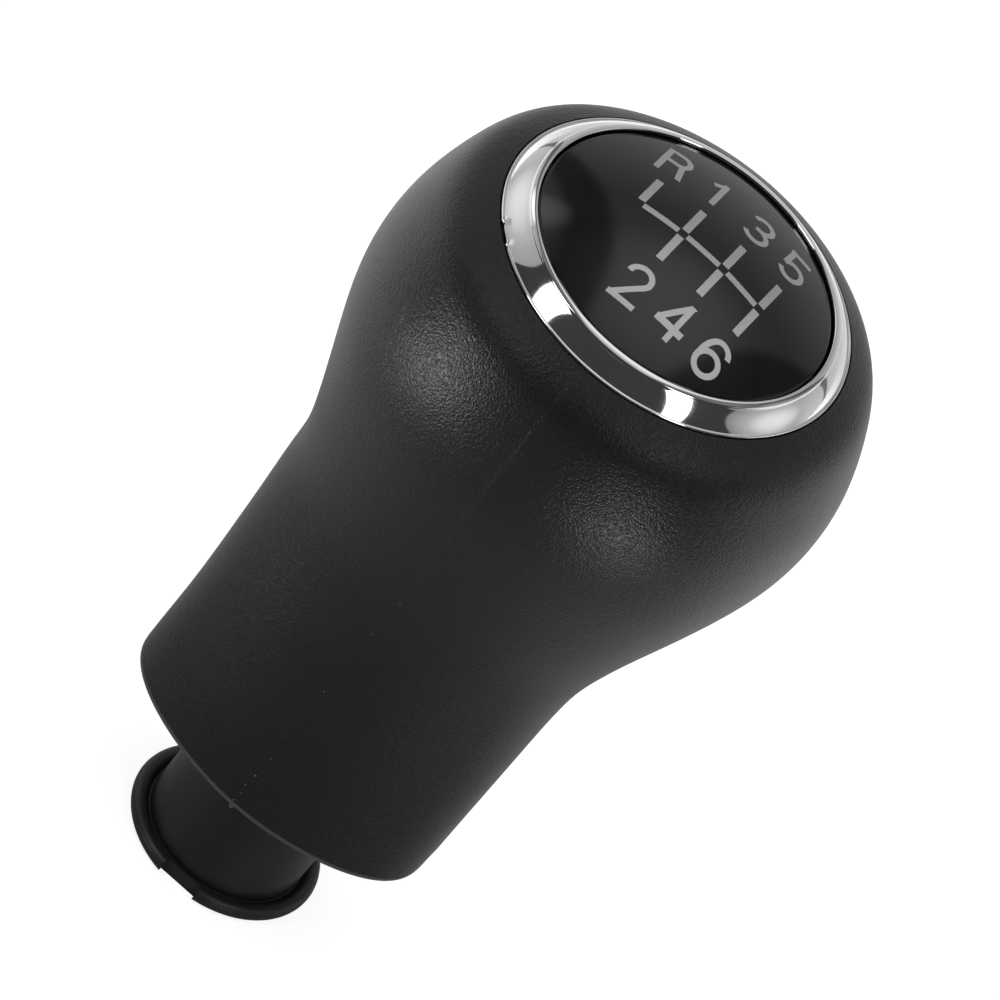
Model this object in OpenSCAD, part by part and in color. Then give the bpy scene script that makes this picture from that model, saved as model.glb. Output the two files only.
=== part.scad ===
// Gear shift knob: a soft pear-shaped grip over a ribbed core, with a chrome
// ring and a domed cap on top and a flanged gaiter sleeve below.
// The origin is the mouth of the lever bore, on the underside of the flange.
// +Z runs up the lever, -Y faces the driver and +X is the driver's right.

/* [Grip] */
// Width of the rim, left to right
rim_w = 35.1; // [33:0.1:38]
// Widest point of the head, left to right
head_w = 51.7; // [48:0.1:56]
// Height from the rim to the trim ring
grip_h = 77.3; // [74:0.1:82]
// Depth of the skirt as a share of its width
skirt_ratio = 0.74; // [0.70:0.01:0.80]
// Depth of the head as a share of its width
head_ratio = 0.95; // [0.86:0.01:1.0]
// How square the corners of the skirt are, from 0 for a plain oval
corner_share = 1; // [0:0.1:1.2]
// Thickness of the soft moulding
grip_wall = 3; // [2.6:0.1:3.2]
// Radius of the rounded lip at the rim
lip_r = 0.7; // [0.4:0.1:0.9]

/* [Sleeve] */
// Drop from the rim to the underside of the flange
sleeve_drop = 15.4; // [12:0.1:18]
// Outer diameter of the gaiter sleeve
sleeve_d = 17.2; // [16.8:0.1:17.4]
// Diameter of the sleeve's bead flange
flange_d = 21; // [20:0.1:23]
// Thickness of the bead flange
flange_t = 1.7; // [1.4:0.1:2.2]
// Width of the notch in the front of the flange
notch_w = 4.3; // [3:0.1:6]
// Depth of the notch
notch_depth = 1.2; // [0.8:0.1:1.6]

/* [Lever bush] */
// Diameter of the lever bore
bore_d = 12; // [10:0.1:12.4]
// Depth of the lever bore
bore_depth = 58; // [45:1:60]
// Outer diameter of the bush
bush_d = 15.2; // [14.6:0.1:15.4]

/* [Cap and ring] */
// Outer diameter of the trim ring
ring_d = 38; // [36:0.1:39]
// Diameter of the domed cap inside the ring
cap_d = 31.9; // [30:0.1:32.4]
// Rise of the ring from its outer bead to its inner bead
ring_rise = 2.1; // [1.6:0.1:2.6]
// Drop from the top of the ring to the edge of the dome
cap_drop = 0.35; // [0.1:0.05:0.6]
// Rise of the dome above its own edge
dome_rise = 3.1; // [1.5:0.1:3.5]

/* [Hidden] */
$fn = 96;

// Loft resolution of the grip
side_count = 60;
span_steps = 3;

// Fits
slip = 0.05;
plate_gap = 0.35;
rib_gap = 0.6;

// Levels, from the underside of the flange
rim_z = sleeve_drop;
floor_z = rim_z + 3.8;
floor_t = 2;
ledge_z = floor_z + floor_t;
ring_z = rim_z + grip_h;
shelf_z = ring_z - 4.6;
shelf_t = 2.2;
sleeve_top = ledge_z + 10;
shoulder_t = 2;
bush_top = bore_depth + 4;
// Plates that brace the hollow at the waist and under the head
plate_t = 1.6;
waist_z = rim_z + 31;
crown_z = rim_z + 51;

// Radii
sleeve_r = sleeve_d / 2;
flange_r = flange_d / 2;
bush_r = bush_d / 2;
barrel_r = sleeve_r + 1;
ring_r = ring_d / 2;
cap_r = cap_d / 2;
opening_r = ring_r - 0.5;
shelf_r = ring_r + 0.8;

// Rebate in the grip's top edge that the ring's outer bead sits in
seat_drop = 0.3;

// Outline of the grip, a row for each level: height as a share of grip_h,
// swell of the width and of the depth from the skirt (0) to the head (1),
// lead of the two sides over the front and back, set to the right, set back
levels = [
    [0, 0, -0.02, -0.04, -0.43, 0.03],
    [0.06, 0.005, 0.03, 0.11, -0.53, 0.12],
    [0.125, 0.013, 0.07, 0.2, -0.57, 0.16],
    [0.25, 0.048, 0.15, -0.01, -0.45, 0.09],
    [0.34, 0.082, 0.22, -0.27, -0.26, 0],
    [0.4, 0.125, 0.28, -0.3, -0.11, -0.07],
    [0.46, 0.205, 0.356, -0.01, 0.04, -0.13],
    [0.52, 0.348, 0.44, 0.1, 0.18, -0.17],
    [0.58, 0.52, 0.525, 0.12, 0.31, -0.17],
    [0.66, 0.75, 0.646, 0.1, 0.42, -0.1],
    [0.76, 0.969, 0.843, 0.07, 0.44, 0.1],
    [0.85, 0.972, 1.04, 0.09, 0.35, 0.24],
    [0.92, 0.816, 1.165, 0.04, 0.22, 0.24],
    [0.97, 0.593, 1.22, -0.02, 0.09, 0.12]
];
function level_row(p) = [
    p[0] * grip_h,
    rim_w / 2 + p[1] * (head_w - rim_w) / 2,
    skirt_ratio + p[2] * (head_ratio - skirt_ratio),
    p[3], p[4], p[5]
];
// The last row is the edge that the trim ring sits on
profile = concat(
    [for (p = levels) level_row(p)],
    [[grip_h, ring_r + 0.2, 1, 0, 0, 0]]
);
last = len(profile) - 1;

// Smooth curve through the rows
function knot(i) = profile[max(0, min(last, i))];
function curve(i, t) =
    let (a = knot(i - 1), b = knot(i), c = knot(i + 1), d = knot(i + 2))
    0.5 * (2 * b + (c - a) * t + (2 * a - 5 * b + 4 * c - d) * t * t
        + (3 * b - a - 3 * c + d) * t * t * t);
function curve_at(s) = curve(min(last - 1, floor(s)), s - min(last - 1, floor(s)));
outline = [for (k = [0:last * span_steps]) curve_at(k / span_steps)];
// Row at height h over the rim, read off the outline
function row_at(h) = [
    for (k = [0:5]) k == 0 ? h : lookup(h, [for (p = outline) [p[0], p[k]]])
];

function ease(t) = let (u = max(0, min(1, t))) u * u * (3 - 2 * u);
// The corners fade out at this share of grip_h
corner_fade = 0.49;
// Width and depth of a section towards the angle a, 1 at its four ends
wide = [0.087, -0.038, -0.02];
deep = [0.029, -0.031, -0.009];
function reach_x(a, w) = cos(a) + w * (
    wide[0] * (cos(3 * a) - cos(a)) + wide[1] * (cos(5 * a) - cos(a))
    + wide[2] * (cos(7 * a) - cos(a)));
function reach_y(a, w) = sin(a) + w * (
    deep[0] * (sin(3 * a) + sin(a)) + deep[1] * (sin(5 * a) - sin(a))
    + deep[2] * (sin(7 * a) + sin(a)));

// Rounded oval ring of points from a row, drawn in by a margin
function oval(row, margin) =
    let (
        w = corner_share * (1 - ease(row[0] / grip_h / corner_fade)),
        half = row[1] - margin,
        deep_half = row[1] * row[2] - margin
    )
    [
        for (k = [0:side_count - 1])
        let (a = 360 * k / side_count)
        [
            row[4] + half * reach_x(a, w) + row[3] * pow(cos(a), 2),
            row[5] + deep_half * reach_y(a, w)
        ]
    ];
function lift(ring, z) = [for (p = ring) [p[0], p[1], z]];
function section(h, margin) = oval(row_at(h), margin);
// Round ring of points about the lever's axis
function round_ring(r, z) = [
    for (k = [0:side_count - 1])
    [r * cos(360 * k / side_count), r * sin(360 * k / side_count), z]
];
// Reach of the hollow from the lever's axis, towards the angle a
function hollow_reach(h, a) =
    let (ring = section(h, grip_wall), u = [cos(a), sin(a)])
    max([
        for (k = [0:side_count - 1])
        let (
            p = ring[k],
            q = ring[(k + 1) % side_count],
            before = cross(u, p),
            after = cross(u, q)
        )
        before <= 0 && after > 0
            ? u * (p + (q - p) * before / (before - after))
            : 0
    ]);

// Quarter round of the lip: margin and height above the rim
lip_arc = [for (a = [0:22.5:90]) [lip_r * (1 - cos(a)), lip_r * (1 - sin(a))]];
recess_margin = grip_wall - 0.8;

module grip_shell() {
    outer = [
        for (row = outline)
        if (row[0] > lip_r) lift(oval(row, 0), rim_z + row[0])
    ];
    lip = [
        for (k = [len(lip_arc) - 1:-1:0])
        lift(section(0, lip_arc[k][0]), rim_z + lip_arc[k][1])
    ];
    top = [
        round_ring(ring_r + 0.05, ring_z - seat_drop),
        round_ring(opening_r, ring_z - seat_drop),
        round_ring(opening_r, shelf_z)
    ];
    hollow_h = shelf_z - rim_z;
    ledge_h = ledge_z - rim_z;
    inner = [
        for (k = [0:14])
        let (h = hollow_h + (ledge_h - hollow_h) * k / 14)
        lift(section(h, grip_wall), rim_z + h)
    ];
    recess = [
        lift(section(ledge_h, recess_margin), ledge_z),
        lift(section(lip_r, recess_margin), rim_z + 0.5),
        lift(section(0, recess_margin - 0.5), rim_z)
    ];
    rings = concat(lip, outer, top, inner, recess);
    count = len(rings);
    color("#2b2b2d")
    polyhedron(
        points = [for (ring = rings) each ring],
        faces = [
            for (i = [0:count - 1], k = [0:side_count - 1])
            let (j = (i + 1) % count, n = (k + 1) % side_count)
            each [
                [i * side_count + k, j * side_count + k, j * side_count + n],
                [i * side_count + k, j * side_count + n, i * side_count + n]
            ]
        ],
        convexity = 6
    );
}

// Flat oval plate that fills the hollow at one level
module hollow_plate(z, t, margin) {
    translate([0, 0, z])
    linear_extrude(t)
    polygon(section(z - rim_z, margin));
}

// Upright rib from the barrel to the hollow's wall, towards the angle a
module core_rib(a, z_low) {
    rib_t = 1.6;
    steps = 30;
    root_r = barrel_r - 0.6;
    z_high = shelf_z - shelf_t + 0.5;
    rotate([0, 0, a])
    translate([0, rib_t / 2, 0])
    rotate([90, 0, 0])
    linear_extrude(rib_t)
    polygon(concat(
        [[root_r, z_high], [root_r, z_low]],
        [
            for (k = [0:steps])
            let (z = z_low + (z_high - z_low) * k / steps)
            [hollow_reach(z - rim_z, a) - rib_gap, z]
        ]
    ));
}

// Places of the snap windows, bush keys and ring legs round the axis
tongue_turns = [90, 270];
key_turns = [45:90:315];
leg_turns = [22.5:90:292.5];
hook_turns = [67.5:90:337.5];
hook_r = 12;

window_w = 5;
barb_z = sleeve_top - 3;
barb_t = 1.4;
barb_reach = 0.6;

key_w = 1.2;
key_r = bush_r + 0.6;
leg_w = 5;
leg_t = 0.9;
leg_r = opening_r - 0.1;
hook_w = 4;
hook_t = 1.2;

module core_carrier() {
    color("#3c3d40")
    difference() {
        union() {
            hollow_plate(floor_z, floor_t, recess_margin + 0.1);
            hollow_plate(waist_z, plate_t, grip_wall + plate_gap);
            hollow_plate(crown_z, plate_t, grip_wall + plate_gap);
            translate([0, 0, floor_z])
            cylinder(r = barrel_r, h = shelf_z - floor_z);
            translate([0, 0, shelf_z - shelf_t])
            cylinder(r = shelf_r, h = shelf_t);
            core_rib(0, ledge_z);
            core_rib(180, ledge_z);
            for (a = [45, 135, 225, 315]) core_rib(a, waist_z);
            for (a = [90, 270]) core_rib(a, crown_z);
        }
        // Seat of the sleeve and of the bush's shoulder
        translate([0, 0, floor_z - 1])
        cylinder(r = sleeve_r + slip, h = sleeve_top + shoulder_t - floor_z + 1);
        // Seat of the bush, closed above
        translate([0, 0, sleeve_top])
        cylinder(r = bush_r + slip, h = bush_top + 0.5 - sleeve_top);
        for (a = key_turns)
            rotate([0, 0, a])
            translate([0, -key_w / 2 - slip, sleeve_top])
            cube([key_r + slip, key_w + 2 * slip, bush_top - 4 - sleeve_top]);
        // Windows that the sleeve's barbs snap into
        for (a = tongue_turns)
            rotate([0, 0, a])
            translate([sleeve_r - 1, -window_w / 2, barb_z - slip])
            cube([3, window_w, barb_t + 0.4]);
        // Hollow above the bush, which saves weight
        translate([0, 0, bush_top + 3])
        cylinder(r = bush_r, h = shelf_z - shelf_t - bush_top - 3);
        // Slots for the ring's legs and holes for the cap base's hooks
        for (a = leg_turns)
            rotate([0, 0, a])
            translate([leg_r - leg_t - 0.6, -leg_w / 2 - 0.2, shelf_z - shelf_t - 1])
            cube([leg_t + 0.7, leg_w + 0.4, shelf_t + 2]);
        for (a = hook_turns)
            rotate([0, 0, a])
            translate([hook_r - 0.1, -hook_w / 2 - 0.2, shelf_z - shelf_t - 1])
            cube([hook_t + 1.1, hook_w + 0.4, shelf_t + 2]);
    }
}

// Half section of the sleeve: bead flange, tube and stop collar
module sleeve_section() {
    bead_r = flange_t / 2;
    collar_r = sleeve_r + 1;
    collar_t = 1.4;
    inner_r = bush_r + slip;
    polygon(concat(
        [[inner_r, 0]],
        [
            for (a = [-90:15:90])
            [flange_r - bead_r + bead_r * cos(a), bead_r + bead_r * sin(a)]
        ],
        [
            [sleeve_r + 0.5, flange_t - 0.35],
            [sleeve_r, flange_t - 0.15],
            [sleeve_r, floor_z - collar_t - 0.5],
            [collar_r, floor_z - collar_t],
            [collar_r, floor_z],
            [sleeve_r, floor_z],
            [sleeve_r, sleeve_top - 0.5],
            [sleeve_r - 0.5, sleeve_top],
            [inner_r, sleeve_top]
        ]
    ));
}

// Snap barb in the side view: a ramp above and a flat catch below
module barb(reach, t, w) {
    translate([0, w / 2, 0])
    rotate([90, 0, 0])
    linear_extrude(w)
    polygon([[-0.4, 0], [reach, 0], [reach, t * 0.4], [0, t], [-0.4, t]]);
}

module gaiter_sleeve() {
    tongue_w = window_w - 1;
    slit = 0.6;
    slit_z = ledge_z + 2;
    color("#1f1f20")
    difference() {
        union() {
            rotate_extrude() sleeve_section();
            for (a = tongue_turns)
                rotate([0, 0, a])
                translate([sleeve_r, 0, barb_z])
                barb(barb_reach, barb_t, tongue_w - 0.4);
        }
        // Notch in the front of the flange
        translate([-notch_w / 2, -flange_r - 1, -1])
        cube([notch_w, notch_depth + 1, flange_t + 2]);
        // Slits that free the two sprung tongues
        for (a = tongue_turns, s = [-1, 1])
            rotate([0, 0, a])
            translate([bush_r - 1, s * tongue_w / 2 - slit / 2, slit_z])
            cube([3, slit, sleeve_top - slit_z + 1]);
    }
}

clip_z = 50;
clip_wire_r = 0.42;
clip_r = bush_r - 0.45;

module lever_bush() {
    groove = clip_wire_r + slip;
    color("#d8d6cc")
    difference() {
        union() {
            cylinder(r = bush_r, h = bush_top - 1);
            translate([0, 0, bush_top - 1])
            cylinder(r1 = bush_r, r2 = bush_r - 1, h = 1);
            translate([0, 0, sleeve_top])
            cylinder(r = sleeve_r - 0.2, h = shoulder_t);
            for (a = key_turns)
                rotate([0, 0, a])
                translate([0, -key_w / 2, sleeve_top + 1])
                cube([key_r, key_w, bush_top - 6 - sleeve_top]);
        }
        translate([0, 0, -1])
        cylinder(d = bore_d, h = bore_depth + 1);
        // Groove of the retaining clip, open to the outside
        translate([0, 0, clip_z])
        rotate_extrude()
        translate([clip_r - groove, -groove])
        square([2, 2 * groove]);
    }
}

module retaining_clip() {
    gap = 50;
    color("#b9bcc0")
    translate([0, 0, clip_z])
    rotate([0, 0, -90 + gap / 2])
    rotate_extrude(angle = 360 - gap)
    translate([clip_r, 0])
    circle(r = clip_wire_r, $fn = 24);
}

base_t = 2;
cap_seat_z = shelf_z + base_t;

module cap_base() {
    base_r = leg_r - leg_t - 0.15;
    hook_drop = shelf_t + 0.05;
    color("#3c3d40")
    union() {
        difference() {
            translate([0, 0, shelf_z])
            cylinder(r = base_r, h = base_t);
            // Shallow pocket under the cap
            translate([0, 0, shelf_z + base_t - 0.8])
            cylinder(r = cap_r - 3, h = 1);
        }
        for (a = [0:60:300])
            rotate([0, 0, a])
            translate([4, -0.6, shelf_z + base_t - 0.9])
            cube([cap_r - 6, 1.2, 0.9]);
        for (a = hook_turns)
            rotate([0, 0, a]) {
                translate([hook_r, -hook_w / 2, shelf_z - hook_drop - 1.2])
                cube([hook_t, hook_w, hook_drop + 1.3]);
                translate([hook_r + hook_t, 0, shelf_z - hook_drop])
                mirror([0, 0, 1])
                barb(0.8, 1.2, hook_w);
            }
    }
}

cap_edge_z = ring_z + ring_rise - cap_drop;
cap_flange_t = 1;

module shift_cap() {
    wall = 1.8;
    flange_reach = 1.3;
    dome_r = (cap_r * cap_r + dome_rise * dome_rise) / (2 * dome_rise);
    dome_centre = cap_edge_z + dome_rise - dome_r;
    color("#0e0e10")
    difference() {
        union() {
            intersection() {
                translate([0, 0, dome_centre])
                sphere(r = dome_r);
                translate([0, 0, cap_seat_z])
                cylinder(r = cap_r, h = 20);
            }
            translate([0, 0, cap_seat_z])
            cylinder(r = cap_r + flange_reach, h = cap_flange_t);
        }
        // Hollow underside, with an even wall below the dome
        intersection() {
            translate([0, 0, dome_centre])
            sphere(r = dome_r - wall);
            translate([0, 0, cap_seat_z - 1])
            cylinder(r = cap_r - wall, h = 20);
        }
    }
}

// Half section of the ring: outer bead, sloping band, inner bead, skirt
module ring_section() {
    outer_bead = 0.15;
    inner_bead = 0.3;
    inner_r = cap_r + 0.2;
    top_z = ring_z + ring_rise;
    under_z = cap_seat_z + cap_flange_t;
    skirt_r = leg_r - leg_t;
    // Ends of the band, which swells a little between them
    low = [ring_r - 2 * outer_bead, ring_z + 0.12];
    high = [inner_r + 2 * inner_bead, top_z - 0.2];
    swell = 0.12;
    side = [high[1] - low[1], low[0] - high[0]] / norm(high - low);
    polygon(concat(
        [[leg_r, ring_z - seat_drop]],
        [
            for (a = [-90:30:120])
            [
                ring_r - outer_bead + outer_bead * cos(a),
                ring_z + outer_bead * sin(a)
            ]
        ],
        [
            for (t = [0:0.25:1])
            low + (high - low) * t + side * swell * 4 * t * (1 - t)
        ],
        [
            for (a = [30:30:180])
            [
                inner_r + inner_bead + inner_bead * cos(a),
                top_z - inner_bead + inner_bead * sin(a)
            ]
        ],
        [
            [inner_r, under_z],
            [skirt_r, under_z],
            [skirt_r, shelf_z],
            [leg_r, shelf_z]
        ]
    ));
}

module trim_ring() {
    // The legs are a little thinner than the skirt that they grow out of
    leg_inset = 0.1;
    color("#d5d8dc")
    union() {
        rotate_extrude($fn = 180) ring_section();
        for (a = leg_turns)
            rotate([0, 0, a]) {
                translate([0, 0, shelf_z - shelf_t - 1.4])
                intersection() {
                    difference() {
                        cylinder(r = leg_r - leg_inset, h = shelf_t + 2);
                        translate([0, 0, -1])
                        cylinder(r = leg_r - leg_t + leg_inset, h = shelf_t + 4);
                    }
                    translate([0, -leg_w / 2, 0])
                    cube([ring_r, leg_w, shelf_t + 2]);
                }
                translate([leg_r - 0.2, 0, shelf_z - shelf_t - 0.05])
                mirror([0, 0, 1])
                barb(0.8, 1.3, leg_w - 1);
            }
    }
}

grip_shell();
core_carrier();
gaiter_sleeve();
lever_bush();
retaining_clip();
cap_base();
shift_cap();
trim_ring();
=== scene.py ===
import math

import bpy
from mathutils import Matrix, Vector


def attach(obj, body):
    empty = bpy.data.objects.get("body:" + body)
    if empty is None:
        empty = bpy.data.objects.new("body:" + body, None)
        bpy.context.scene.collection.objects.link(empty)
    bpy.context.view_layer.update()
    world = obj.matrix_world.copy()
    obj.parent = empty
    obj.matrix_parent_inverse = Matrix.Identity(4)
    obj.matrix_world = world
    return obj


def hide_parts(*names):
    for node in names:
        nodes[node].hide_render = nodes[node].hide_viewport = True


# A gear shift knob standing on its sleeve flange.
# Sizes are written in millimetres, from the underside of the flange, and become metres in the meshes.
# +Z runs up the lever, -Y faces the driver and +X is the driver's right.
MM = 0.001

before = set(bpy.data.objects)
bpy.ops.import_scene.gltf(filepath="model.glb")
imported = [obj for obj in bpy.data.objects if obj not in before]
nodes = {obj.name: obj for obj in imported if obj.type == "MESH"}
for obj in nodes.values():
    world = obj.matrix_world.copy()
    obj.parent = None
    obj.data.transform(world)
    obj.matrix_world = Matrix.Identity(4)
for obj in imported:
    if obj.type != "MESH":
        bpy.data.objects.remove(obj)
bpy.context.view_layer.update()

# Sizes shared with the part
rim_w = 35.1
head_w = 51.7
grip_h = 77.3
skirt_ratio = 0.74
head_ratio = 0.95
corner_fade = 0.49
grip_wall = 3.0
lip_r = 0.7
rim_z = 15.4
floor_z = rim_z + 3.8
ledge_z = floor_z + 2
ring_z = rim_z + grip_h
shelf_z = ring_z - 4.6
seat_drop = 0.3
ring_r = 19.0
opening_r = 18.5
cap_r = 15.95
ring_rise = 2.1
dome_rise = 3.1
cap_edge_z = ring_z + ring_rise - 0.35
cap_seat_z = shelf_z + 2
sleeve_r = 8.6
sleeve_top = ledge_z + 10
flange_r = 10.5
flange_t = 1.7
bush_r = 7.6
notch_w = 4.3
notch_depth = 1.2

# Modelling helpers


def deselect():
    """Leaves edit mode and selects nothing."""
    if bpy.context.object is not None and bpy.context.object.mode != "OBJECT":
        bpy.ops.object.mode_set(mode="OBJECT")
    bpy.ops.object.select_all(action="DESELECT")


def pick(piece):
    """Makes a piece the only selected one."""
    deselect()
    piece.select_set(True)
    bpy.context.view_layer.objects.active = piece


def start_point(name, point):
    """A piece with a single vertex, selected in edit mode, to extrude a section from."""
    deselect()
    bpy.ops.mesh.primitive_plane_add(size=MM, location=(0, 0, 0))
    piece = bpy.context.object
    piece.name = name
    piece.data.name = name
    bpy.ops.object.mode_set(mode="EDIT")
    bpy.ops.mesh.select_all(action="SELECT")
    bpy.ops.mesh.merge(type="CENTER")
    bpy.ops.transform.translate(value=[c * MM for c in point])
    return piece


def pull(dx, dy, dz):
    """Extrudes the selection by a step in millimetres."""
    bpy.ops.mesh.extrude_region_move(TRANSFORM_OT_translate={"value": (dx * MM, dy * MM, dz * MM)})


def turn_section(name, section, steps):
    """Extrudes a closed section of (radius, height) points and spins it round the lever's axis."""
    first = section[0]
    piece = start_point(name, (first[0], 0, first[1]))
    here = first
    for r, z in section[1:] + [first]:
        pull(r - here[0], 0, z - here[1])
        here = (r, z)
    bpy.ops.mesh.select_all(action="SELECT")
    bpy.ops.mesh.spin(steps=steps, angle=2 * math.pi, center=(0, 0, 0), axis=(0, 0, 1))
    merge_and_face_out()
    bpy.ops.object.mode_set(mode="OBJECT")
    return piece


def merge_and_face_out():
    """Closes the seams of the piece in edit mode and turns its faces outwards."""
    bpy.ops.mesh.select_all(action="SELECT")
    bpy.ops.mesh.remove_doubles(threshold=2e-6)
    bpy.ops.mesh.normals_make_consistent(inside=False)


def smooth(piece, degrees):
    pick(piece)
    bpy.ops.object.shade_smooth_by_angle(angle=math.radians(degrees))


def apply_all(piece):
    """Applies the piece's modifiers in turn."""
    pick(piece)
    for step in list(piece.modifiers):
        bpy.ops.object.modifier_apply(modifier=step.name)


def cut(piece, tool, operation="DIFFERENCE", own_overlaps=False):
    """Boolean of a piece with a tool body, which is then thrown away."""
    step = piece.modifiers.new("cut", "BOOLEAN")
    step.object = tool
    step.operation = operation
    step.solver = "EXACT"
    step.use_self = own_overlaps
    apply_all(piece)
    bpy.data.objects.remove(tool)


def select_where(piece, kind, test):
    """Enters edit mode with the vertices, edges or faces selected that pass a test on their place."""
    pick(piece)
    mesh = piece.data
    bpy.ops.object.mode_set(mode="EDIT")
    bpy.ops.mesh.select_all(action="DESELECT")
    bpy.ops.mesh.select_mode(type=kind)
    bpy.ops.object.mode_set(mode="OBJECT")
    if kind == "VERT":
        for v in mesh.vertices:
            v.select = test(v.co / MM)
    if kind == "EDGE":
        for e in mesh.edges:
            e.select = all(test(mesh.vertices[i].co / MM) for i in e.vertices)
    if kind == "FACE":
        for f in mesh.polygons:
            f.select = test(f.center / MM, f.normal)
    bpy.ops.object.mode_set(mode="EDIT")


# Outline of the grip


def ease(t):
    """A smooth step from 0 to 1."""
    u = max(0.0, min(1.0, t))
    return u * u * (3 - 2 * u)


# A row for each level: height as a share of grip_h, swell of the width and of the depth from the
# skirt (0) to the head (1), lead of the two sides over the front and back, set to the right, set back.
grip_levels = [
    (0, 0, -0.02, -0.04, -0.43, 0.03),
    (0.06, 0.005, 0.03, 0.11, -0.53, 0.12),
    (0.125, 0.013, 0.07, 0.2, -0.57, 0.16),
    (0.25, 0.048, 0.15, -0.01, -0.45, 0.09),
    (0.34, 0.082, 0.22, -0.27, -0.26, 0),
    (0.4, 0.125, 0.28, -0.3, -0.11, -0.07),
    (0.46, 0.205, 0.356, -0.01, 0.04, -0.13),
    (0.52, 0.348, 0.44, 0.1, 0.18, -0.17),
    (0.58, 0.52, 0.525, 0.12, 0.31, -0.17),
    (0.66, 0.75, 0.646, 0.1, 0.42, -0.1),
    (0.76, 0.969, 0.843, 0.07, 0.44, 0.1),
    (0.85, 0.972, 1.04, 0.09, 0.35, 0.24),
    (0.92, 0.816, 1.165, 0.04, 0.22, 0.24),
    (0.97, 0.593, 1.22, -0.02, 0.09, 0.12),
]
profile = [
    (share * grip_h, rim_w / 2 + wide * (head_w - rim_w) / 2,
     skirt_ratio + deep * (head_ratio - skirt_ratio), lead, right_set, back_set)
    for share, wide, deep, lead, right_set, back_set in grip_levels
]
# The last row is the round edge that the trim ring sits on
profile.append((grip_h, ring_r + 0.2, 1.0, 0.0, 0.0, 0.0))


def even_curve(rows, count):
    """Rows along a smooth curve with even curvature through the given rows."""
    t = [0.0]
    for a, b in zip(rows, rows[1:]):
        t.append(t[-1] + math.dist(a[:2], b[:2]))
    n = len(rows)
    bends = []
    for y in zip(*rows):
        low, mid, high, rhs = [0.0] * n, [1.0] * n, [0.0] * n, [0.0] * n
        for i in range(1, n - 1):
            a, b = t[i] - t[i - 1], t[i + 1] - t[i]
            low[i], mid[i], high[i] = a, 2 * (a + b), b
            rhs[i] = 6 * ((y[i + 1] - y[i]) / b - (y[i] - y[i - 1]) / a)
        for i in range(1, n):
            k = low[i] / mid[i - 1]
            mid[i] -= k * high[i - 1]
            rhs[i] -= k * rhs[i - 1]
        m = [0.0] * n
        m[-1] = rhs[-1] / mid[-1]
        for i in range(n - 2, -1, -1):
            m[i] = (rhs[i] - high[i] * m[i + 1]) / mid[i]
        bends.append((y, m))
    curve = []
    for k in range(count + 1):
        s = t[-1] * k / count
        i = max(j for j in range(n - 1) if t[j] <= s or j == 0)
        a, b, w = t[i + 1] - s, s - t[i], t[i + 1] - t[i]
        curve.append(tuple(
            m[i] * a**3 / (6 * w) + m[i + 1] * b**3 / (6 * w)
            + (y[i] / w - m[i] * w / 6) * a + (y[i + 1] / w - m[i + 1] * w / 6) * b
            for y, m in bends
        ))
    return curve


outline = even_curve(profile, 150)


def row_at(h):
    """The outline's row at a height over the rim."""
    h = max(0.0, min(outline[-1][0], h))
    for below, above in zip(outline, outline[1:]):
        if h <= above[0]:
            t = (h - below[0]) / (above[0] - below[0])
            return tuple(a + (b - a) * t for a, b in zip(below, above))
    return outline[-1]


# Vertices round each level of the grip
grip_sides = 192


def level(h, margin, z):
    """One level of the grip: middle, half width, half depth and height, drawn in by a margin."""
    row = row_at(h)
    return (row[4], row[5], row[1] - margin, row[1] * row[2] - margin, z)


def round_level(r, z):
    return (0, 0, r, r, z)


def model_grip():
    """Draws the oval up level by level, over the top edge and down the inside."""
    levels = []
    for k in range(8, -1, -1):
        a = math.radians(90 * k / 8)
        levels.append(level(0, lip_r * (1 - math.cos(a)), rim_z + lip_r * (1 - math.sin(a))))
    levels += [level(row[0], 0, rim_z + row[0]) for row in outline if row[0] > lip_r + 0.1]
    top = ring_z - seat_drop
    levels += [round_level(ring_r + 0.13, ring_z - 0.06), round_level(ring_r + 0.05, top)]
    levels += [round_level(opening_r, top), round_level(opening_r, shelf_z)]
    for k in range(25):
        h = shelf_z - rim_z + (ledge_z - shelf_z) * k / 24
        levels.append(level(h, grip_wall, rim_z + h))
    recess = grip_wall - 0.8
    levels.append(level(ledge_z - rim_z, recess, ledge_z))
    levels.append(level(lip_r, recess, rim_z + 0.5))
    levels.append(level(0, recess - 0.15, rim_z + 0.15))
    levels.append(level(0, recess - 0.5, rim_z))

    deselect()
    cx, cy, ax, ay, z = levels[0]
    bpy.ops.mesh.primitive_circle_add(vertices=grip_sides, radius=ax * MM, location=(0, 0, 0))
    grip = bpy.context.object
    grip.name = grip.data.name = "grip_moulding"
    bpy.ops.object.mode_set(mode="EDIT")
    bpy.ops.mesh.select_all(action="SELECT")
    bpy.ops.transform.resize(value=(1, ay / ax, 1), center_override=(0, 0, 0))
    bpy.ops.transform.translate(value=(cx * MM, cy * MM, z * MM))
    for cx2, cy2, ax2, ay2, z2 in levels[1:] + levels[:1]:
        pull(cx2 - cx, cy2 - cy, z2 - z)
        bpy.ops.transform.resize(
            value=(ax2 / ax, ay2 / ay, 1), center_override=(cx2 * MM, cy2 * MM, z2 * MM)
        )
        cx, cy, ax, ay, z = cx2, cy2, ax2, ay2, z2
    merge_and_face_out()
    bpy.ops.object.mode_set(mode="OBJECT")
    return grip


# How far the skirt's corners stand out from a plain oval, for three, five and seven waves a turn
corner_wide = (0.087, -0.038, -0.02)
corner_deep = (0.029, -0.031, -0.009)


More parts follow.
